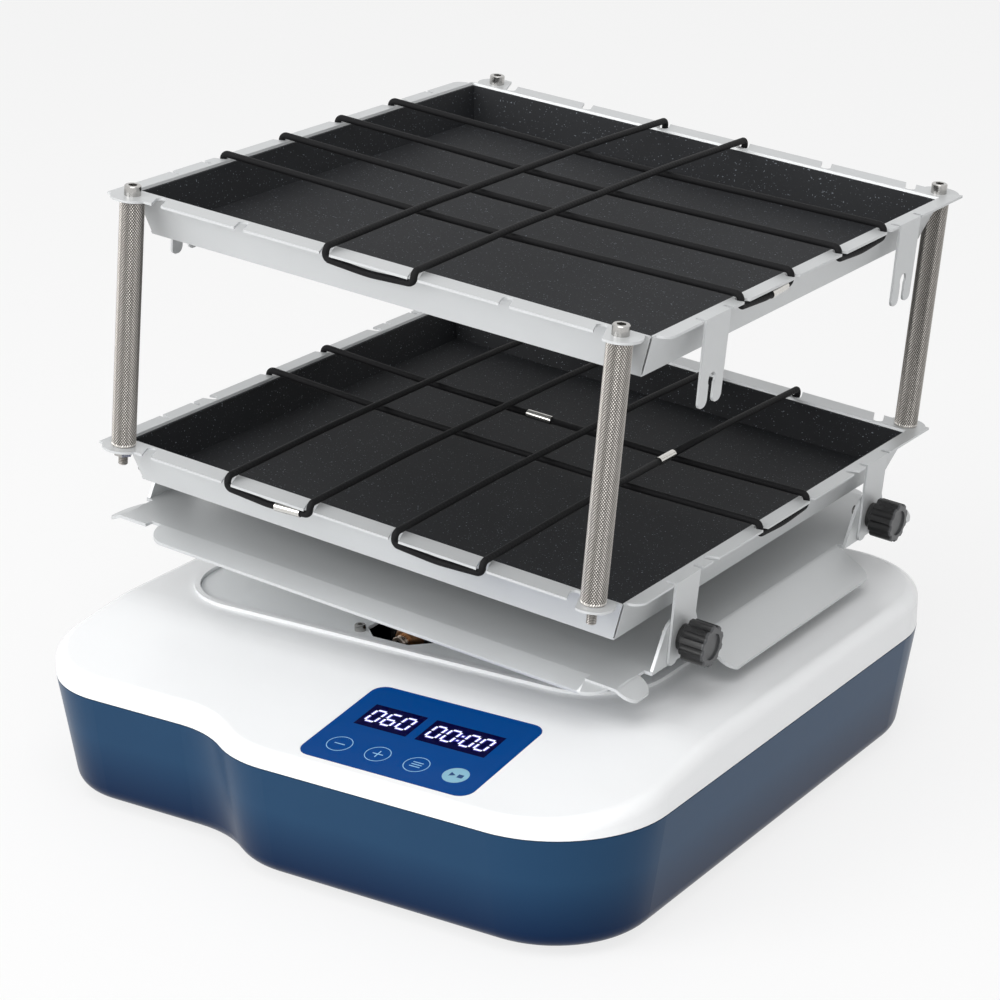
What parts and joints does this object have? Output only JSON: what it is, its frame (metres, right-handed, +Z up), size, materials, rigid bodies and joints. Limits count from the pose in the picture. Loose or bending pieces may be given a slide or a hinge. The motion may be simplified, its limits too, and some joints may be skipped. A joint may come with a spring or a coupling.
{
  "type": "rocking lab shaker",
  "caption": "Two-tier rocking lab shaker: tilting tray stack with clamp knobs over a moulded base with a sloping control panel.",
  "frame": {"origin": "on the bench plane, straight under the rocking axis, half way between its two pivots", "axes": "+X to the right, +Y to the back along the rocking axis, +Z up"},
  "size_m": [0.4328, 0.488, 0.3755],
  "materials": {
    "blue_housing": "satin moulded plastic, deep blue",
    "white_cover": "satin moulded plastic, white",
    "grey_sheet": "powder-coated sheet, light grey",
    "tray_sheet": "powder-coated sheet, light grey",
    "zinc_steel": "zinc-plated steel",
    "dark_steel": "black-coated steel",
    "cast_alloy": "as cast",
    "motor_can": "painted black",
    "bronze": "sintered bronze",
    "stainless": "stainless steel",
    "steel_screw": "steel",
    "foot_rubber": "matt",
    "liner_rubber": "matt, fine speckle",
    "elastic_cord": "braided elastic",
    "knob_plastic": "satin black",
    "panel_film": "glossy printed film",
    "display_lens": "glossy dark lens",
    "module_black": "matt",
    "switch_rocker": "satin",
    "circuit_board": "solder mask"
  },
  "bodies": {
    "base": {"base_housing": "blue_housing", "top_cover": "white_cover", "deck_plate": "grey_sheet", "chassis_plate": "zinc_steel", "rubber_feet": "foot_rubber", "foot_screws": "steel_screw", "cover_screws": "steel_screw", "deck_standoffs": "steel_screw", "deck_screws": "steel_screw", "control_panel": "panel_film", "display_windows": "display_lens", "display_modules": "module_black", "control_board": "circuit_board", "power_inlet": "module_black", "switch_bezel": "module_black", "front_pedestal": "dark_steel", "rear_pedestal": "dark_steel", "pivot_pins": "steel_screw", "pivot_washers": "steel_screw", "pivot_collars": "bronze", "pivot_bolts": "steel_screw", "pedestal_screws": "steel_screw", "gearbox": "cast_alloy", "drive_motor": "motor_can", "motor_screws": "steel_screw", "power_supply": "module_black"},
    "switch": {"power_switch": "switch_rocker"},
    "crank": {"motor_shaft": "steel_screw", "crank_disc": "dark_steel", "crank_pin": "steel_screw", "crank_bearing": "steel_screw"},
    "carrier": {"front_arm": "dark_steel", "rear_arm": "dark_steel", "pivot_bushings": "bronze", "arm_screws": "steel_screw", "carrier_plate": "grey_sheet", "ear_nuts": "steel_screw"},
    "trays": {"lower_tray": "tray_sheet", "upper_tray": "tray_sheet", "lower_tray_liner": "liner_rubber", "upper_tray_liner": "liner_rubber", "tray_posts": "stainless", "post_screws": "stainless", "post_studs": "stainless", "post_nuts": "stainless", "upper_loop_front": "elastic_cord", "upper_loop_rear": "elastic_cord", "upper_loop_middle": "elastic_cord", "lower_loop_left": "elastic_cord", "lower_loop_right": "elastic_cord", "lower_loop_middle": "elastic_cord", "loop_ferrules": "stainless"},
    "knob_front_right": {"knob_front_right": "knob_plastic", "knob_stud_front_right": "stainless"},
    "knob_rear_right": {"knob_rear_right": "knob_plastic", "knob_stud_rear_right": "stainless"},
    "knob_front_left": {"knob_front_left": "knob_plastic", "knob_stud_front_left": "stainless"},
    "knob_rear_left": {"knob_rear_left": "knob_plastic", "knob_stud_rear_left": "stainless"}
  },
  "joints": [
    {"name": "platform_rock", "type": "hinge", "parent": "base", "child": "carrier", "pos_m": [0, 0, 0.098], "axis": [0, 1, 0], "range_deg": [-11, 0]},
    {"name": "crank_spin", "type": "hinge", "parent": "base", "child": "crank", "pos_m": [0, -0.093, 0.048], "axis": [0, 1, 0], "range_deg": [-181, 1]},
    {"name": "tray_lift", "type": "slide", "parent": "carrier", "child": "trays", "axis": [0.0958, 0, 0.9954], "range_m": [0, 0.06]},
    {"name": "switch_tip", "type": "hinge", "parent": "base", "child": "switch", "pos_m": [-0.02, 0.16341, 0.042], "axis": [1, 0, 0], "range_deg": [-14, 0]},
    {"name": "knob_turn_front_right", "type": "hinge", "parent": "carrier", "child": "knob_front_right", "pos_m": [0.19497, -0.111, 0.14051], "axis": [0.9954, 0, -0.0958], "range_deg": [0, 720]},
    {"name": "knob_turn_rear_right", "type": "hinge", "parent": "carrier", "child": "knob_rear_right", "pos_m": [0.19497, 0.131, 0.14051], "axis": [0.9954, 0, -0.0958], "range_deg": [0, 720]},
    {"name": "knob_turn_front_left", "type": "hinge", "parent": "carrier", "child": "knob_front_left", "pos_m": [-0.18328, -0.111, 0.17693], "axis": [-0.9954, 0, 0.0958], "range_deg": [0, 720]},
    {"name": "knob_turn_rear_left", "type": "hinge", "parent": "carrier", "child": "knob_rear_left", "pos_m": [-0.18328, 0.131, 0.17693], "axis": [-0.9954, 0, 0.0958], "range_deg": [0, 720]}
  ],
  "couplings": [
    {"joint": "crank_spin", "follows": "platform_rock", "ratio": 16.364}
  ]
}
